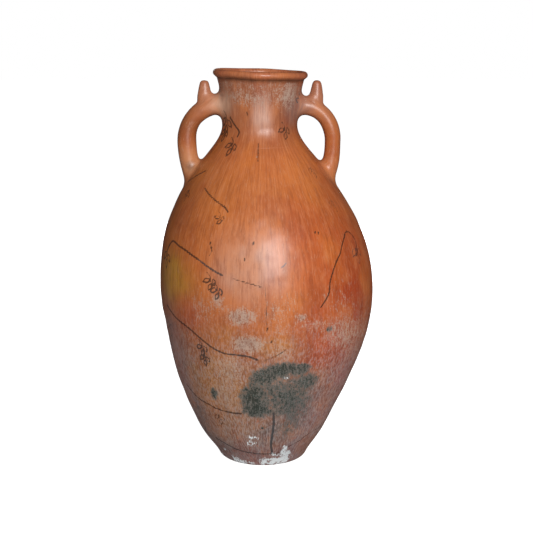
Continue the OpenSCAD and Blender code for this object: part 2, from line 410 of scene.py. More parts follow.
# %% Smoke, lime, haze and worn flecks
# (degrees, height, half width, half height, strength) in each list
SMOKE = [
    (9, 210, 36, 16, 0.95), (-3, 196, 24, 18, 0.85), (-8, 160, 24, 28, 0.85), (21, 208, 20, 12, 0.85),
    (-4, 124, 30, 14, 0.80), (-8, 142, 26, 24, 0.75), (8, 164, 46, 46, 0.72), (27, 184, 26, 18, 0.75),
    (22, 150, 38, 38, 0.55), (24, 112, 48, 40, 0.48), (16, 72, 36, 32, 0.42), (-33, 156, 10, 13, 0.9),
    (-34, 145, 7, 9, 0.6), (0, 91, 3, 3, 0.9), (-56, 108, 14, 14, 0.55), (150, 130, 60, 50, 0.8),
    (172, 170, 40, 30, 0.7), (-120, 90, 50, 40, 0.5), (34, 275, 10, 8, 0.75), (95, 60, 60, 20, 0.45),
    (-26, 190, 20, 12, 0.35), (-8, 258, 20, 10, 0.25),
]
LIME = [
    (24, 20, 9, 18, 1.0), (22, 36, 6, 14, 0.8), (16, 10, 16, 10, 1.0), (28, 8, 10, 8, 0.9),
    (2, 10, 9, 10, 0.9), (-3, 18, 4, 6, 0.6), (-24, 5, 20, 6, 0.8), (-36, 10, 12, 8, 0.6),
    (38, 14, 6, 7, 0.6), (-44, 26, 9, 6, 0.5), (-8, 64, 14, 14, 0.45), (120, 10, 30, 12, 0.8),
    (165, 8, 40, 10, 0.9), (210, 14, 24, 14, 0.8), (255, 8, 30, 10, 0.8), (12, 194, 7, 8, 0.42),
    (30, 26, 10, 12, 0.55), (12, 26, 12, 8, 0.5), (-60, 14, 16, 8, 0.4), (-14, 50, 12, 8, 0.35),
]
PALE = [
    (-13, 304, 34, 20, 0.95), (-10, 256, 34, 20, 1.0), (6, 292, 26, 50, 0.5), (-20, 206, 44, 40, 0.7),
    (-34, 312, 36, 40, 0.55), (-24, 330, 16, 14, 0.7), (18, 302, 14, 8, 0.9), (40, 262, 46, 32, 0.6),
    (60, 240, 60, 60, 0.6), (24, 286, 40, 14, 0.6),
    (-26, 150, 44, 32, 0.65), (12, 330, 90, 24, 0.35), (0, 60, 80, 30, 0.4), (130, 300, 60, 40, 0.7),
    (190, 260, 70, 40, 0.8), (240, 200, 60, 50, 0.6), (60, 130, 50, 60, 0.5), (-3, 559, 2.5, 2.5, 0.9),
    (46, 320, 60, 60, 0.4), (-50, 240, 50, 40, 0.5), (8, 236, 30, 22, 0.6),
]


def neck_wear(angle, z):
    """Worn pale flecks under the lip, all the way round and streaming down the right side."""
    band = soft_step(z, 0.615, 0.665) * (1 - soft_step(z, 0.680, 0.687))
    streams = [(44, 650, 24, 34, 0.7), (-20, 652, 40, 16, 0.5), (150, 640, 40, 40, 0.7)]
    return np.clip(0.52 * band + 0.5 * gather(angle, z, streams), 0, 1)


# %% Tints of the handles and their roots
# (colour, side, x, y, z in millimetres, reach, strength); side 0 is both
TOUCHES = [
    ((178, 112, 82), 0, 98, 0, 668, 26, 0.50), ((178, 120, 94), 0, 78, 0, 645, 32, 0.65),
    ((214, 170, 142), -1, 64, -28, 643, 24, 0.9), ((138, 120, 112), 1, 62, -34, 636, 28, 0.6),
    ((176, 122, 92), 0, 116, 0, 520, 30, 0.55), ((206, 148, 104), -1, 128, -8, 545, 28, 0.70),
    ((142, 84, 46), -1, 134, -10, 600, 26, 0.60), ((170, 104, 70), 1, 112, -12, 630, 24, 0.50),
    ((140, 68, 40), 1, 126, -10, 570, 36, 0.55), ((112, 92, 74), -1, 122, -16, 534, 9, 0.60),
]
# (x, y, z in millimetres, reach, strength) of the dark corners under the handles
SHADOWS = [
    (78, 0, 616, 15, 0.8), (102, 0, 600, 17, 0.45), (112, 0, 583, 12, 0.25), (102, 0, 536, 12, 0.35),
]


def near_point(points, side, x, y, z, reach):
    """1 at a place beside the jar, fading out to 0 at about the reach."""
    across = np.abs(points[:, 0]) if side == 0 else points[:, 0] * side
    apart = np.column_stack([across, points[:, 1], points[:, 2]]) - np.array([x, y, z]) * MM
    gap = np.linalg.norm(apart, axis=1)
    return np.exp(-1.1 * (gap / (reach * MM)) ** 3)


def touched(points, colour):
    """Lays the handle tints over the fired colour."""
    for tint, side, x, y, z, reach, strength in TOUCHES:
        share = strength * near_point(points, side, x, y, z, reach)
        colour = colour + (swatch(*tint) - colour) * share[:, None]
    return colour


# %% [markdown]
# ## From mesh to finished clay piece
# Each piece is a bmesh that becomes an object with the marks stored on its points. The colours
# come from the true-round shape, and the points are settled afterwards, so a mark keeps its place.

# %% Storing the marks
def store(mesh, name, kind, field, values):
    """One number or one colour for each point."""
    layer = mesh.attributes.new(name, kind, "POINT")
    layer.data.foreach_set(field, np.ascontiguousarray(values, np.float32).ravel())


def clay_marks(mesh, points, cover):
    """Works out every mark on the true-round points. Cover says what is hidden, tinted, grimy or in
    painted shade.
    """
    angle = np.arctan2(points[:, 0], -points[:, 1])
    z = points[:, 2]
    outside = cover["outside"]
    ink, blue = ink_at(points)
    # Painted shade: the cover's shade darkens the colour inside the jar.
    colour = touched(points, fired_colour_and_painted_light(angle, z)) * cover["shade"][:, None]
    colour = colour + (cover["tint"] - colour) * cover["tint_share"][:, None]
    rgba = np.column_stack([np.clip(colour, 0, 1), np.ones(len(colour))])
    store(mesh, "fired_colour_and_painted_light", "FLOAT_COLOR", "color", rgba)
    off_neck = soft_step(from_axis(points), 80 * MM, 86 * MM)
    on_handles = 0.14 * off_neck * soft_step(z, 0.50, 0.52)
    wear = neck_wear(angle, z) * (1 - off_neck) + on_handles
    # Painted shadow in the corners under the handles, stored with the grime.
    shadow = sum(depth * near_point(points, 0, x, y, low, reach) for x, y, low, reach, depth in SHADOWS)
    marks = {
        "ink": ink * outside,
        "ink_blue": blue,
        "smoke": gather(angle, z, SMOKE) * outside,
        "lime": gather(angle, z, LIME) * outside,
        "pale": np.maximum(gather(angle, z, PALE), wear) * outside,
        "burnish": soft_step(z, 0.17, 0.36) * outside,
        "grime": np.clip(cover["grime"] + shadow * outside, 0, 1),
    }
    for name, values in marks.items():
        store(mesh, name, "FLOAT", "value", values)


def cover_of(points, **known):
    """What is hidden, darkened by painted shade, tinted or grimy on a piece. What isn't given stays clean
    and open.
    """
    bare, none = np.ones(len(points)), np.zeros(len(points))
    plain = {"outside": bare, "shade": bare, "grime": none, "tint": swatch(0, 0, 0), "tint_share": none}
    return {**plain, **known}


# %% Making the object
# Folds of more than this angle, in radians, are shaded as edges.
SHARP = 0.6
clay_pieces = []


def put_in_scene(name, data):
    """A new object for a mesh, a lamp or a camera."""
    made = bpy.data.objects.new(name, data)
    bpy.context.scene.collection.objects.link(made)
    return made


def clay_piece(name, bm, node, slot, cover=cover_of, moved=None):
    """Turns a bmesh into a piece of the jar, with its marks, in its settled place."""
    bmesh.ops.remove_doubles(bm, verts=bm.verts, dist=1e-6)
    bmesh.ops.recalc_face_normals(bm, faces=bm.faces)
    for edge in bm.edges:
        edge.smooth = edge.calc_face_angle(0) < SHARP
    mesh = bpy.data.meshes.new(name)
    bm.to_mesh(mesh)
    bm.free()
    points = np.zeros(len(mesh.vertices) * 3)
    mesh.vertices.foreach_get("co", points)
    points = points.reshape(-1, 3)
    if moved is not None:
        points = moved(points)
    clay_marks(mesh, points, cover(points))
    mesh.vertices.foreach_set("co", settle(points).ravel())
    mesh.polygons.foreach_set("use_smooth", np.ones(len(mesh.polygons), bool))
    mesh.update()
    piece = put_in_scene(name, mesh)
    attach(piece, "root")
    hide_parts(node)
    clay_pieces.append((piece, slot))
    print("%s: %d faces" % (name, len(mesh.polygons)))


# %% [markdown]
# ## The rings of the wall
# The potter stacks rings of clay and lutes them with slanted laps, so that the outside of a seam
# is higher than its inside. The cross-section of a ring is a closed loop of points, and one full
# spin about the jar's axis makes the ring. The rows are 2 mm high outside, to carry the marks.

# %% Sections and spins
TURNS = 624


def rows(start, end, step):
    """Evenly spaced heights from start to end."""
    return np.linspace(start, end, int(math.ceil(abs(end - start) / step)) + 1)


def outer_run(low, high, step=2 * MM):
    """Points up the outer surface."""
    return [(float(outline_radius(z)), float(z)) for z in rows(low, high, step)]


def inner_run(high, low, step=7 * MM):
    """Points down the inner surface."""
    return [through_wall(float(z)) for z in rows(high, low, step)]


def all_round(bm, steps):
    """Spins an open section an eighth of a turn, copies that wedge seven times and closes the joins."""
    bmesh.ops.spin(
        bm, geom=bm.verts[:] + bm.edges[:], cent=(0, 0, 0), axis=(0, 0, 1), dvec=(0, 0, 0),
        angle=math.tau / 8, steps=steps, use_merge=False, use_duplicate=False,
    )
    wedge = bm.verts[:] + bm.edges[:] + bm.faces[:]
    for eighth in range(1, 8):
        copy = bmesh.ops.duplicate(bm, geom=wedge)
        verts = [g for g in copy["geom"] if isinstance(g, bmesh.types.BMVert)]
        turn = Matrix.Rotation(eighth * math.tau / 8, 3, "Z")
        bmesh.ops.rotate(bm, verts=verts, cent=(0, 0, 0), matrix=turn)
    bmesh.ops.remove_doubles(bm, verts=bm.verts, dist=2e-6)
    return bm


def spun(section, closed=True, turns=TURNS):
    """Spins a cross-section of (radius, height) points once round the jar's axis."""
    bm = bmesh.new()
    verts = [bm.verts.new((0, r, z)) for r, z in section]
    for pair in zip(verts[:-1], verts[1:]):
        bm.edges.new(pair)
    if closed:
        bm.edges.new((verts[-1], verts[0]))
    return all_round(bm, turns // 8)


def ring_cover(points):
    """Inside a ring the clay is darkened with painted shade, more further below the mouth, and a painted
    shadow darkens the undercut under the lip.
    """
    z = points[:, 2]
    depth = outline_radius(z) - from_axis(points)
    outside = 1 - soft_step(depth, 1 * MM, 3 * MM)
    # Painted shade inside the jar, darker further below the mouth.
    light = 0.35 + 0.65 * soft_step(z, 0.60, 0.68)
    # Painted shadow in the undercut under the lip.
    under_lip_shadow = np.exp(-(((z - 0.6865) / 0.004) ** 2))
    shade = 1 - (1 - outside) * (1 - light)
    return cover_of(points, outside=outside, shade=shade, grime=under_lip_shadow * outside * 0.9)


# %% Five wall rings
RINGS = ["flank_ring", "waist_ring", "belly_ring", "shoulder_ring", "neck_ring"]
RING_SLOTS = ["lower_clay", "burnished_clay", "burnished_clay", "burnished_clay", "neck_clay"]
for ring, slot, low, high in zip(RINGS, RING_SLOTS, SEAMS[:-1], SEAMS[1:]):
    section = outer_run(low + LAP / 2, high + LAP / 2) + inner_run(high - LAP / 2, low - LAP / 2)
    clay_piece(ring.title(), spun(section), ring, slot, ring_cover)

# %% [markdown]
# ## The heel and the base
# The heel is the first thick coil, pressed out into a flat foot with a worn, rounded edge. The
# base is a pancake of clay inside it with a bevelled edge. Both stand on the floor.

# %% Heel ring
FOOT = 79 * MM
FLOOR_R = through_wall(BASE)[0]
DISC_TOP = FLOOR_R - 6 * MM
DISC_LOW = DISC_TOP - 9 * MM
SCUFFED = swatch(150, 122, 108)
under = [(float(r), 0.0) for r in rows(DISC_LOW, FOOT - 3.4 * MM, 3 * MM)]
toe = [(FOOT - 1.6 * MM, 0.5 * MM), (FOOT - 0.2 * MM, 1.6 * MM), (FOOT + 0.7 * MM, 2.8 * MM)]
heel = under + toe + outer_run(4.2 * MM, SEAMS[0] + LAP / 2)
heel += inner_run(SEAMS[0] - LAP / 2, BASE + 3 * MM) + [(FLOOR_R - 3 * MM, BASE), (DISC_TOP, BASE)]


def heel_cover(points):
    """The underside of the heel is scuffed and pale."""
    marks = ring_cover(points)
    low = 1 - soft_step(points[:, 2], 0.2 * MM, 2.5 * MM)
    outside = np.maximum(marks["outside"], low)
    known = {"outside": outside, "grime": 0.25 * low, "tint": SCUFFED, "tint_share": 0.5 * low}
    return {**marks, **known}


clay_piece("Heel_Ring", spun(heel), "heel_ring", "lower_clay", heel_cover)

# %% Base disc
upper = [(float(r), BASE) for r in rows(0, DISC_TOP, 6 * MM)]
lower = [(float(r), 0.0) for r in rows(DISC_LOW, 0, 3 * MM)]
disc = spun(upper + lower, closed=False, turns=200)


def base_cover(points):
    """Pale scuffed clay underneath, with painted shade darkening the clay inside."""
    low = points[:, 2] < 1 * MM
    dirt = 0.3 * soft_step(from_axis(points), 0.03, 0.06)
    # Inside, the low shade and the grime value are painted shade.
    return cover_of(
        points, outside=np.where(low, 0.3, 0.0), shade=np.where(low, 1.0, 0.4),
        grime=np.where(low, dirt, 0.3), tint=SCUFFED, tint_share=np.where(low, 0.6, 0.0),
    )


def hollowed(points):
    """Lifts the middle of the underside a little, as drying does."""
    lifted = points.copy()
    r = from_axis(points)
    low = points[:, 2] < 1 * MM
    lifted[low, 2] += 1.6 * MM * (1 - soft_step(r[low], 0.02, 0.058))
    return lifted


clay_piece("Base_Disc", disc, "base_disc", "lower_clay", base_cover, hollowed)

# %% [markdown]
# ## The rolled lip
# The mouth is finished with a round coil that leans out over the neck, which leaves the dark
# undercut below it. Its section is most of a circle joined to the slanted seam of the neck.

# %% Lip coil
LIP_R = 6 * MM
LIP_X = 76 * MM
LIP_Z = 694 * MM
SEAM_TOP = SEAMS[5] + LAP / 2
lip = [through_wall(SEAMS[5] - LAP / 2), (float(outline_radius(SEAM_TOP)), SEAM_TOP)]
for degrees in range(-36, 197, 8):
    a = math.radians(degrees)
    lip.append((LIP_X + LIP_R * math.cos(a), LIP_Z + LIP_R * math.sin(a)))


def lip_cover(points):
    """Painted shadow in the undercut, and plain clay on the inner side."""
    z, r = points[:, 2], from_axis(points)
    # Painted shadow under the overhanging lip.
    grime = (1 - soft_step(z, 0.687, 0.6915)) * soft_step(r, 0.070, 0.076)
    return cover_of(points, grime=grime, outside=soft_step(r, 0.066, 0.070))


clay_piece("Lip_Coil", spun(lip), "lip_coil", "burnished_clay", lip_cover)

# %% [markdown]
# ## The handles
# A handle is a roll of clay that leaves the neck level, bends down and runs into the shoulder. A
# circle is spun round the middle of the upper bend and then round the middle of the long lower
# curve. The roll is then thinned and thickened along its length, and both ends are pressed to
# lie inside the wall.

# %% The path of a handle
GRIP = 16 * MM
BEND = 60 * MM
FALL = 190 * MM
BEND_X = 69 * MM
BEND_Z = 580 * MM
FALL_X = -61 * MM
FALL_TURN = math.radians(30)
START_X = 56 * MM


def handle_middle(points):
    """The nearest points of the right roll's middle line, and the way along it in metres."""
    x, z = np.abs(points[:, 0]), points[:, 2]
    middle = np.zeros_like(points)
    along = np.zeros(len(points))
    straight = (x < BEND_X) & (z >= BEND_Z)
    bend = (x >= BEND_X) & (z >= BEND_Z)
    fall = z < BEND_Z
    middle[straight, 0] = x[straight]
    middle[straight, 2] = BEND_Z + BEND
    along[straight] = x[straight] - BEND_X
    turn = np.arctan2(x[bend] - BEND_X, z[bend] - BEND_Z)
    middle[bend, 0] = BEND_X + BEND * np.sin(turn)
    middle[bend, 2] = BEND_Z + BEND * np.cos(turn)
    along[bend] = BEND * turn
    drop = np.arctan2(BEND_Z - z[fall], x[fall] - FALL_X)
    middle[fall, 0] = FALL_X + FALL * np.cos(drop)
    middle[fall, 2] = BEND_Z - FALL * np.sin(drop)
    along[fall] = BEND * math.pi / 2 + FALL * drop
    return middle, along


# Half the thickness of each roll, at these places along it
STOPS = np.array([-15, 20, 55, 94, 130, 165, 200]) * MM
LEFT_THICK = np.array([17.6, 16.4, 15.6, 16.4, 17.0, 16.8, 16.0]) * MM
RIGHT_THICK = np.array([17.0, 15.4, 14.0, 14.0, 14.6, 15.6, 15.4]) * MM


def roll_radius(along, side):
    """The half thickness of a roll at a distance along it."""
    thick = np.interp(along, STOPS, LEFT_THICK if side < 0 else RIGHT_THICK)
    return thick + 0.35 * MM * np.sin(along * 90 + side)


# %% Rolling a handle
def rolled_handle():
    """The right-hand roll: a circle drawn along the straight start and the two bends."""
    bm = bmesh.new()
    ring = bmesh.ops.create_circle(bm, cap_ends=True, radius=GRIP, segments=72)
    turn = Matrix.Translation((START_X, 0, BEND_Z + BEND)) @ Matrix.Rotation(math.pi / 2, 4, "Y")
    bmesh.ops.transform(bm, matrix=turn, verts=ring["verts"])
    front = bm.faces[:]
    for step in range(5):
        grown = bmesh.ops.extrude_face_region(bm, geom=front)
        moved = [g for g in grown["geom"] if isinstance(g, bmesh.types.BMVert)]
        bmesh.ops.translate(bm, verts=moved, vec=((BEND_X - START_X) / 5, 0, 0))
        old = front
        front = [g for g in grown["geom"] if isinstance(g, bmesh.types.BMFace)]
        if step:
            bmesh.ops.delete(bm, geom=old, context="FACES_ONLY")
    for centre_x, radians, steps in ((BEND_X, math.pi / 2, 60), (FALL_X, FALL_TURN, 64)):
        result = bmesh.ops.spin(
            bm, geom=front, cent=(centre_x, 0, BEND_Z), axis=(0, 1, 0), dvec=(0, 0, 0),
            angle=radians, steps=steps, use_merge=False, use_duplicate=False,
        )
        front = [g for g in result["geom_last"] if isinstance(g, bmesh.types.BMFace)]
    discs = [f for f in bm.faces if len(f.verts) > 4]
    buried = [f for f in discs if all(len(e.link_faces) > 2 for e in f.edges)]
    bmesh.ops.delete(bm, geom=buried, context="FACES_ONLY")
    print("%d buried faces taken out of a roll" % len(buried))
    return bm


def press_into_wall(points, depth=5 * MM):
    """Brings points that run too deep into the wall back to lie just inside it."""
    x, y, z = points.T
    r = np.hypot(x, y)
    limit = outline_radius(z) - depth * np.sqrt(1 + outline_slope(z) ** 2)
    pull = np.where(r < limit, limit / np.maximum(r, 1e-6), 1.0)
    return np.column_stack([x * pull, y * pull, z])


def shaped_roll(side):
    """Gives the roll its own thickness, on the left or on the right."""
    def shape(points):
        middle, along = handle_middle(points)
        fat = middle + (points - middle) * (roll_radius(along, side) / GRIP)[:, None]
        fat = press_into_wall(fat)
        fat[:, 0] *= side
        return fat
    return shape


# %% Two handles
SIDES = ((-1, "left"), (1, "right"))
for side, word in SIDES:
    shape = shaped_roll(side)
    clay_piece(
        word.title() + "_Handle", rolled_handle(), word + "_handle", "handle_clay", moved=shape
    )

# %% [markdown]
# ## Smeared joins
# A nub or a root is pressed on and its edge is smeared with a wet thumb, so one form flows into
# the other. The two forms are described by how far a point is outside each of them. A smooth
# minimum of the two distances is zero on the smeared surface, and points are moved on to it.

# %% Distances and smearing
def outside_body(points):
    """Distance outside the jar's true-round wall."""
    z = points[:, 2]
    gap = from_axis(points) - outline_radius(z)
    return gap / np.sqrt(1 + outline_slope(z) ** 2)


def on_right(points):
    """The same points on the right side."""
    return np.column_stack([np.abs(points[:, 0]), points[:, 1], points[:, 2]])


def outside_roll(points, side):
    """Distance outside a handle's roll."""
    middle, along = handle_middle(points)
    apart = on_right(points) - middle
    return np.linalg.norm(apart, axis=1) - roll_radius(along, side)


def blended(a, b, reach):
    """The smooth minimum of two distances."""
    overlap = np.maximum(reach - np.abs(a - b), 0) / reach
    return np.minimum(a, b) - overlap * overlap * reach / 4


def pull_on_to(points, distance, offset=0.0, times=8):
    """Moves points along a distance's slope until it equals offset. Returns them and that slope."""
    p = points
    small = 0.05 * MM
    for _ in range(times):
        value = distance(p)
        steps = [distance(p + small * axis) - value for axis in np.eye(3)]
        slope = np.stack(steps, axis=1) / small
        length = np.maximum(np.linalg.norm(slope, axis=1), 0.3)
        p = p - ((value - offset) / length**2)[:, None] * slope
    return p, slope / length[:, None]


# %% [markdown]
# ## The rope nubs
# Each handle has a blunt nub that keeps a carrying rope from slipping. It is a pinched cone with
# a round tip and a skirt smeared over the roll. Its side profile is spun about its own axis, and
# each point of the skirt is then dropped along that axis on to the smeared surface. The smear is
# tight on the outer side of the roll and wide towards the neck.

# %% Nubs
NUB_X = 97.5 * MM
UPPER_REACH = 15 * MM
SKIRT_LOW = 5 * MM
SKIRT_HIGH = 31 * MM
NUB_Z = 632.5 * MM
NUB_LEAN = math.radians(0.5)
# (radius, height) in millimetres, from the tip down to the edge of the skirt
BARREL = np.array([
    (0, 50.4), (3.0, 50), (5.6, 48.7), (7.4, 46.3), (8.4, 43.4), (9.1, 40.4), (9.8, 37.4),
    (10.4, 34.2), (11.0, 31), (11.6, 27.6), (12.3, 24.4), (13.3, 21.2), (14.9, 18.3), (17.0, 15.4),
    (19.2, 12.6), (21.6, 10), (24, 7),
]) * MM
PINCH = 0.8
TAPER_H = BARREL[::-1, 1]
TAPER_R = np.minimum(BARREL[::-1, 0], 12.6 * MM)
NUB_AXIS = np.array([math.sin(NUB_LEAN), 0, math.cos(NUB_LEAN)])


def outside_nub(points):
    """Distance outside the nub's own cone."""
    p = on_right(points) - [NUB_X, 0, NUB_Z]
    up = p @ NUB_AXIS
    away = np.linalg.norm((p - up[:, None] * NUB_AXIS) * [1, 1 / PINCH, 1], axis=1)
    low = 3 * MM + 8 * MM * (p[:, 1] / PINCH / np.maximum(away, 1e-6)) ** 2
    return away - np.interp(up, TAPER_H, TAPER_R) + 0.8 * np.maximum(low - up, 0)


def smeared_top(points, side):
    """Distance outside the roll, its nub and the wall, all smeared together."""
    outer = soft_step(np.abs(points[:, 0]) - NUB_X, -6 * MM, 6 * MM)
    arm = blended(outside_roll(points, side), outside_nub(points), (12 - 8 * outer) * MM)
    return blended(arm, outside_body(points), UPPER_REACH)


def spun_nub():
    """The nub standing on the origin, with its tip up and its skirt down."""
    low = [(14 * MM, 3 * MM), (6 * MM, 0), (0, -1 * MM)]
    section = [tuple(p) for p in flowing(BARREL, 3)] + low
    return spun(section, closed=False, turns=96)


def placed_nub(side):
    """Leans the nub, and drops its skirt on to the smeared surface."""
    def place(points):
        r = from_axis(points)
        up = points[:, 2]
        skirt = (up < SKIRT_HIGH) & (up > SKIRT_LOW)
        edge = soft_step(r, 20 * MM, 24 * MM)[skirt]
        flat = points.copy()
        flat[:, 1] *= np.interp(r, [11 * MM, 24 * MM], [PINCH, 0.58])
        flat[skirt, 2] = 0
        tilt = np.array(Matrix.Rotation(NUB_LEAN, 3, "Y"))
        p = flat @ tilt.T + [NUB_X, 0, NUB_Z]
        low = np.full(len(edge), -8 * MM)
        high = np.full(len(edge), 40 * MM)
        for _ in range(26):
            middle = (low + high) / 2
            q = p[skirt] + middle[:, None] * NUB_AXIS
            above = smeared_top(q, side) > 0
            high = np.where(above, middle, high)
            low = np.where(above, low, middle)
        p[skirt] += (high - 0.5 * MM * edge)[:, None] * NUB_AXIS
        p[:, 0] *= side
        return p
    return place


for side, word in SIDES:
    shape = placed_nub(side)
    clay_piece(word.title() + "_Nub", spun_nub(), word + "_lug", "handle_clay", moved=shape)

# %% [markdown]
# ## The smeared collars
# Where a roll enters the wall, a collar of soft clay is pressed into the corner. It starts as a
# flattened torus: one way round it follows the roll, the other way it goes from the wall up on
# to the roll and back beneath. Points that lie on two surfaces at once are found by turns, first
# on one and then on the other. The upper side is then pulled on to the smooth corner.

# %% Collars
ROOT_TURN = math.radians(18)
UPPER_ROOT = np.array([float(outline_radius(0.64)), 0, 0.64])
LOWER_ROOT = np.array([FALL_X + FALL * math.cos(ROOT_TURN), 0, BEND_Z - FALL * math.sin(ROOT_TURN)])
LOWER_WAY = np.array([math.sin(ROOT_TURN), 0, math.cos(ROOT_TURN)])
ROOTS = {
    "upper": (UPPER_ROOT, np.array([1.0, 0, 0]), UPPER_REACH),
    "lower": (LOWER_ROOT, LOWER_WAY, 12 * MM),
}


def flat_torus():
    """A torus of ring radius 1 and tube radius 0.3, made by spinning a circle."""
    bm = bmesh.new()
    ring = bmesh.ops.create_circle(bm, cap_ends=False, radius=0.3, segments=44)
    stand = Matrix.Translation((1, 0, 0)) @ Matrix.Rotation(math.pi / 2, 4, "X")
    bmesh.ops.transform(bm, matrix=stand, verts=ring["verts"])
    return all_round(bm, 20)


def where_both(points, first, first_gap, second, second_gap):
    """Slides points to where two distances have the values asked for, by turns."""
    p = points
    for _ in range(7):
        p, _slope = pull_on_to(p, first, first_gap, 2)
        p, _slope = pull_on_to(p, second, second_gap, 2)
    return p


def smeared_collar(root, side):
    """Bends the torus into the corner between the roll and the wall."""
    start, way, reach = ROOTS[root]
    across = np.array([0, 1.0, 0])
    updown = np.cross(way, across)

    def roll(points):
        return outside_roll(points, side)

    def corner_form(points):
        if root == "upper":
            return smeared_top(points, side)
        return blended(outside_body(points), roll(points), reach)

    def shape(points):
        turn = np.arctan2(points[:, 1], points[:, 0])
        section = np.arctan2(points[:, 2], from_axis(points) - 1)
        t = 0.5 - 0.5 * np.cos(section)
        ragged = 1.12 + 0.06 * np.sin(3 * turn + side) + 0.04 * np.sin(7 * turn + 2 * side)
        direction = np.cos(turn)[:, None] * across + np.sin(turn)[:, None] * updown
        corner = where_both(start + direction * GRIP, roll, 0.0, outside_body, 0.0)
        foot = where_both(corner + direction * reach, roll, reach * ragged, outside_body, 0.0)
        lift = where_both(corner + way * reach, outside_body, reach * ragged, roll, 0.0)
        q, away = pull_on_to(foot + (lift - foot) * t[:, None], corner_form)
        up = np.sin(section)
        q += away * np.where(up > 0, -0.25 * MM + 0.4 * MM * up, -0.25 * MM + 3 * MM * up)[:, None]
        q[:, 0] *= side
        return q
    return shape


for side, word in SIDES:
    for root in ROOTS:
        node = "%s_%s_collar" % (word, root)
        clay_piece(node.title(), flat_torus(), node, "collar_clay", moved=smeared_collar(root, side))

# %% [markdown]
# ## Clay as a material
# One recipe makes all the finishes, because it is one clay fired in one fire, and the seams
# between the pieces must not show. The marks stored on the points say where, and noise on the
# object's own coordinates gives the fine structure: burnishing strokes that run up and down the
# wall, mineral specks, pits, and ragged edges on the smoke, lime and worn patches. The strokes
# read the direction round the jar and the height instead of the plain place. So they keep to
# the slope of the wall, where noise in plain coordinates would cut across it like wood grain.

# %% Sockets as Python numbers
class Amount:
    """A shader value that can be added, multiplied and so on in an expression."""

    def __init__(self, recipe, socket):
        self.recipe = recipe
        self.socket = socket

    def maths(self, operation, first, second):
        made = self.recipe.add("ShaderNodeMath", {"operation": operation}, {0: first, 1: second})
        return made.out(0)

    def __add__(self, other):
        return self.maths("ADD", self, other)

    def __radd__(self, other):
        return self.maths("ADD", other, self)

    def __sub__(self, other):
        return self.maths("SUBTRACT", self, other)

    def __rsub__(self, other):
        return self.maths("SUBTRACT", other, self)

    def __mul__(self, other):
        return self.maths("MULTIPLY", self, other)

    def __rmul__(self, other):
        return self.maths("MULTIPLY", other, self)


class Placed:
    """A node that has been added, with its outputs by name or number."""

    def __init__(self, recipe, node):
        self.recipe = recipe
        self.node = node

    def out(self, name):
        return Amount(self.recipe, self.node.outputs[name])


class Recipe:
    """The nodes of a material or of the room's light."""

    def __init__(self, owner):
        owner.use_nodes = True
        self.tree = owner.node_tree
        self.tree.nodes.clear()

    def add(self, kind, settings=None, values=None):
        """Adds a node: its settings first, then the values or links of its sockets."""
        node = self.tree.nodes.new(kind)
        for key, value in (settings or {}).items():
            setattr(node, key, value)
        for key, value in (values or {}).items():
            if isinstance(value, Amount):
                self.tree.links.new(value.socket, node.inputs[key])
            else:
                node.inputs[key].default_value = value
        return Placed(self, node)

    def mark(self, name):
        """A number stored on the mesh points."""
        return self.add("ShaderNodeAttribute", {"attribute_name": name}).out("Fac")

    def step(self, value, low, high):
        """0 below low, 1 above high and smooth between."""
        settings = {"interpolation_type": "SMOOTHSTEP", "clamp": True}
        values = {0: value, 1: low, 2: high, 3: 0.0, 4: 1.0}
        return self.add("ShaderNodeMapRange", settings, values).out(0)

    def grain(self, place, size, stretch=1.0, detail=3.0, rough=0.55, shift=0.0):
        """Noise with lumps of about size metres, drawn out stretch times along the height."""
        scale = (1 / size, 1 / size, 1 / size / stretch)
        values = {"Vector": place, "Scale": scale, "Location": (shift, shift, 0)}
        spread = self.add("ShaderNodeMapping", {}, values).out(0)
        values = {"Vector": spread, "Scale": 1.0, "Detail": detail, "Roughness": rough}
        return self.add("ShaderNodeTexNoise", {"noise_dimensions": "3D"}, values).out(0)

    def tint(self, share, under, over):
        """Lays one colour over another."""
        settings = {"data_type": "RGBA", "blend_type": "MIX", "clamp_factor": True}
        return self.add("ShaderNodeMix", settings, {0: share, 6: under, 7: over}).out(2)


# %% The clay recipe
def rgba(*channels):
    """A colour for a socket, from 0 to 255 a channel."""
    return (*[float(c) for c in swatch(*channels)], 1.0)


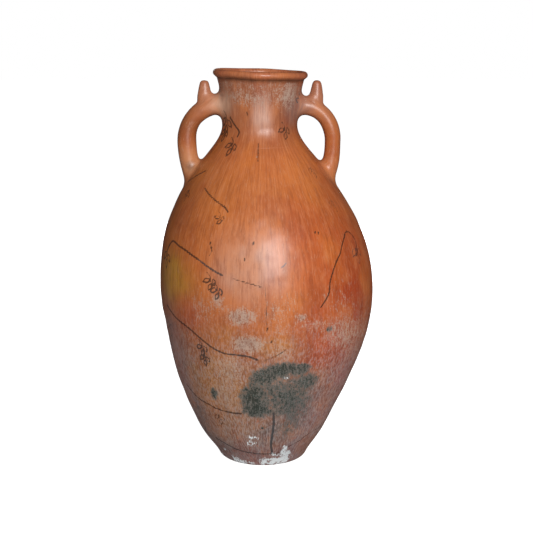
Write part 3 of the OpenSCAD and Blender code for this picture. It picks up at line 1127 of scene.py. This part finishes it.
def fired_clay(name, streaks=1.0):
    """Burnished, worn, open-fired clay."""
    material = bpy.data.materials.new(name)
    r = Recipe(material)
    place = r.add("ShaderNodeTexCoord").out("Object")
    broad = r.grain(place, 0.060, 1.6, 3)

    # A place on the wall is the direction round the jar at the typical radius, plus the height.
    parts = r.add("ShaderNodeSeparateXYZ", {}, {0: place})
    level = r.add("ShaderNodeCombineXYZ", {}, {0: parts.out(0), 1: parts.out(1)}).out(0)
    heading = r.add("ShaderNodeVectorMath", {"operation": "NORMALIZE"}, {0: level}).out(0)
    round_jar = r.add("ShaderNodeVectorMath", {"operation": "SCALE"}, {0: heading, 3: TYPICAL_R}).out(0)
    upright = r.add("ShaderNodeCombineXYZ", {}, {2: parts.out(2)}).out(0)
    wall = r.add("ShaderNodeVectorMath", {"operation": "ADD"}, {0: round_jar, 1: upright}).out(0)
    cloudy = r.grain(wall, 0.016, 2.6, 4, 0.6, 4.4)
    strokes_up = r.grain(wall, 0.0036, 8.0, 3, 0.6)
    long_strokes = r.grain(wall, 0.0022, 34.0, 2, 0.5, 6.3)
    hairs = r.grain(wall, 0.0013, 8.0, 2, 0.6, 3.1)
    coarse = r.grain(wall, 0.0028, 2.6, 4, 0.72, 5.2)
    rag = r.grain(place, 0.0075, 1.3, 5, 0.72, 7.7)
    speck = r.grain(place, 0.0024, 1.0, 3, 0.75, 1.9)
    flecks = rag * 0.5 + speck * 0.5
    burnish = r.mark("burnish")
    dull = 1.0 - burnish
    base = r.add("ShaderNodeAttribute", {"attribute_name": "fired_colour_and_painted_light"}).out("Color")

    # Broad cloudiness, the burnishing strokes as darker and lighter hairlines, and specks. The
    # last four are the grey and lilac dust of the unburnished lower part.
    for noise, low, high, share, tone in (
        (broad, 0.48, 0.68, 0.30, (210, 120, 46)),
        (broad, 0.50, 0.34, 0.34, (142, 58, 30)),
        (cloudy, 0.52, 0.70, 0.24, (208, 134, 88)),
        (cloudy, 0.48, 0.32, 0.26, (124, 58, 28)),
        (strokes_up, 0.50, 0.34, 0.26 * streaks, (112, 50, 24)),
        (strokes_up, 0.54, 0.70, 0.17 * streaks, (216, 142, 98)),
        (long_strokes, 0.50, 0.36, 0.13 * streaks, (120, 54, 26)),
        (long_strokes, 0.54, 0.68, 0.10 * streaks, (218, 150, 104)),
        (hairs, 0.54, 0.70, 0.26, (200, 150, 120)),
        (speck, 0.36, 0.26, 0.45, (96, 48, 28)),
        (coarse, 0.46, 0.60, dull * 0.52, (174, 158, 154)),
        (coarse, 0.50, 0.38, dull * 0.40, (92, 62, 54)),
        (hairs, 0.50, 0.36, dull * 0.34, (90, 70, 66)),
        (rag, 0.56, 0.66, dull * 0.35, (196, 96, 52)),
    ):
        base = r.tint(r.step(noise, low, high) * share, base, rgba(*tone))

    # Worn pale patches and flecks.
    pale = r.mark("pale")
    hatch = flecks * 0.7 + hairs * 0.3
    worn = r.step(hatch + pale * 0.26, 0.62, 0.76)
    base = r.tint(worn * 0.74, base, rgba(178, 156, 140))
    scuffed = r.step(flecks * -1.0 + pale * 0.30, -0.28, -0.16)
    base = r.tint(scuffed * 0.42, base, rgba(100, 56, 42))

    # Smoke: dense black-green specks that thin out at its edge.
    smoke = r.mark("smoke")
    cloud = r.step(smoke * 0.60 + rag * 0.7 + coarse * 0.4, 0.78, 1.04)
    base = r.tint(cloud * 0.84, base, rgba(94, 98, 94))
    peppered = r.step(smoke * 0.26 + speck * 0.40 + coarse * 0.40 + rag * 0.30, 0.72, 0.82)
    base = r.tint(peppered * 0.86, base, rgba(38, 46, 38))
    ash = r.step(hairs * 0.5 + speck * 0.5, 0.54, 0.64)
    base = r.tint(ash * r.step(smoke, 0.3, 0.9) * 0.45, base, rgba(150, 156, 150))

    # Painted lines, broken where the paint has worn off.
    ink = r.mark("ink")
    kept = r.step(ink + (flecks - 0.5) * 1.6, 0.20, 0.55) * r.step(ink, 0.03, 0.20)
    paint = r.tint(r.mark("ink_blue"), rgba(50, 34, 26), rgba(66, 76, 80))
    base = r.tint(kept * 0.82, base, paint)

    #     Grime, with painted shade in the corners under the handles, under the lip and inside, and lime
    #     where the foot stood in the damp.
    base = r.tint(r.mark("grime") * (0.4 + rag * 0.8), base, rgba(58, 34, 22))
    lime = r.mark("lime")
    crust = r.step(lime * 0.36 + rag * 1.2 + coarse * 0.6 + speck * 0.3, 1.24, 1.32)
    crust = crust * r.step(lime, 0.10, 0.35)
    base = r.tint(crust * 0.95, base, rgba(236, 240, 240))

    # Height for the bump: strokes, pits, chips and the thickness of the lime.
    relief = strokes_up * 0.35 + coarse * 0.5 + speck * 0.22 * (1.5 - burnish)
    relief = relief - r.step(speck, 0.38, 0.26) * 0.4 + crust * 0.9 - worn * 0.15
    height = {"Strength": 0.35, "Distance": 0.8 * MM, "Height": relief}
    bump = r.add("ShaderNodeBump", {}, height).out(0)
    dullness = 0.62 - burnish * 0.22 + rag * 0.10 + worn * 0.12 + crust * 0.2 + cloud * 0.1
    body = r.add("ShaderNodeBsdfPrincipled", {}, {
        "Base Color": base, "Roughness": dullness, "Normal": bump, "IOR": 1.5, "Specular IOR Level": 0.12,
        "Coat Weight": burnish * 0.62 * (1.0 - worn * 0.6), "Coat Roughness": 0.32, "Coat IOR": 1.45,
    })
    r.add("ShaderNodeOutputMaterial", {}, {"Surface": body.out("BSDF")})
    return material


# %% A finish for each slot
finishes = {
    "lower_clay": fired_clay("Lower clay, dusty and smoked"),
    "burnished_clay": fired_clay("Burnished clay"),
    "neck_clay": fired_clay("Neck clay, worn under the lip"),
    "handle_clay": fired_clay("Handle clay", 0.4),
    "collar_clay": fired_clay("Collar clay, smeared by hand", 0.4),
}
for piece, slot in clay_pieces:
    piece.data.materials.append(finishes[slot])
print("%d pieces in %d finishes" % (len(clay_pieces), len(finishes)))

# %% [markdown]
# ## The studio
# A jar like this is shown on a plain pale floor in soft light. A large key panel stands in front
# and a little to the right. A smaller panel beside it lights only the gloss, which puts one broad
# sheen on the belly. A panel behind the jar lifts its edges. The room fills in the rest, brighter
# in front than behind. The floor glows so that it stays even and pale, and it sends no light up
# and is not mirrored, or the polished sides of the jar would look hazy.

# %% Floor
floor_bm = bmesh.new()
bmesh.ops.create_circle(floor_bm, cap_ends=True, radius=14, segments=96)
floor_mesh = bpy.data.meshes.new("Floor")
floor_bm.to_mesh(floor_mesh)
floor_bm.free()
floor = put_in_scene("Floor", floor_mesh)
floor.location.z = -0.5 * MM
floor.visible_diffuse = False
floor.visible_glossy = False
floor.visible_shadow = False
pale_floor = bpy.data.materials.new("Pale floor")
plain = Recipe(pale_floor)
paper = plain.add("ShaderNodeBsdfPrincipled", {}, {
    "Base Color": (0.6, 0.6, 0.6, 1), "Roughness": 1.0, "Specular IOR Level": 0.0,
    "Emission Color": (1, 1, 1, 1), "Emission Strength": 0.9,
})
plain.add("ShaderNodeOutputMaterial", {}, {"Surface": paper.out("BSDF")})
floor_mesh.materials.append(pale_floor)

# %% Room light
world = bpy.data.worlds.new("Pale room")
bpy.context.scene.world = world
room = Recipe(world)
seen = room.add("ShaderNodeLightPath")
way = room.add("ShaderNodeTexCoord").out("Generated")
parts = room.add("ShaderNodeSeparateXYZ", {}, {0: way})
front = room.add("ShaderNodeMapRange", {}, {
    "Value": parts.out("Y"), "From Min": 1.0, "From Max": -1.0, "To Min": 0.10, "To Max": 0.40,
}).out(0)
dimmed = front * (1.0 - seen.out("Is Glossy Ray") * 0.7)
fill = room.add("ShaderNodeBackground", {}, {"Color": (0.97, 0.98, 1.0, 1), "Strength": dimmed})
backdrop = room.add("ShaderNodeBackground", {}, {"Color": (1, 1, 1, 1), "Strength": 1.0})
shares = {0: seen.out("Is Camera Ray"), 1: fill.out(0), 2: backdrop.out(0)}
choose = room.add("ShaderNodeMixShader", {}, shares)
room.add("ShaderNodeOutputWorld", {}, {"Surface": choose.out(0)})


# %% Soft panels
AIM = Vector((0, 0, 0.36))


def soft_panel(name, azimuth, distance, height, width, tall, watts, tint):
    """A rectangular lamp that faces the jar. Azimuth is in degrees from the front to the right."""
    lamp = bpy.data.lights.new(name, "AREA")
    lamp.shape = "RECTANGLE"
    lamp.size = width
    lamp.size_y = tall
    lamp.energy = watts
    lamp.color = tint
    panel = put_in_scene(name, lamp)
    a = math.radians(azimuth)
    panel.location = (distance * math.sin(a), -distance * math.cos(a), height)
    panel.visible_camera = False
    panel.rotation_euler = (AIM - panel.location).to_track_quat("-Z", "Y").to_euler()
    return panel


soft_panel("Key panel", 14, 2.4, 1.25, 1.1, 1.2, 58, (1, 1, 1))
soft_panel("Rim panel", 180, 2.4, 0.8, 1.5, 1.3, 44, (0.96, 0.96, 1)).visible_glossy = False
soft_panel("Sheen panel", 16, 2.2, 1.25, 0.66, 0.7, 9, (1, 1, 1)).visible_diffuse = False

# %% [markdown]
# ## The camera
# The jar is seen from about two metres away and from a little above its mouth, through a long
# lens, so its sides hardly converge. The camera looks down by 12 degrees and has no lens shift.

# %% Camera
CAMERA_DOWN = math.radians(12)
camera_data = bpy.data.cameras.new("Camera")
camera_data.sensor_width = 36
camera_data.lens = 78.4
camera = put_in_scene("Camera", camera_data)
camera.location = (0.0062, -2.05, 0.786)
camera.rotation_euler = (math.pi / 2 - CAMERA_DOWN, 0, 0)
bpy.context.scene.camera = camera
bpy.context.scene.view_settings.view_transform = "Standard"
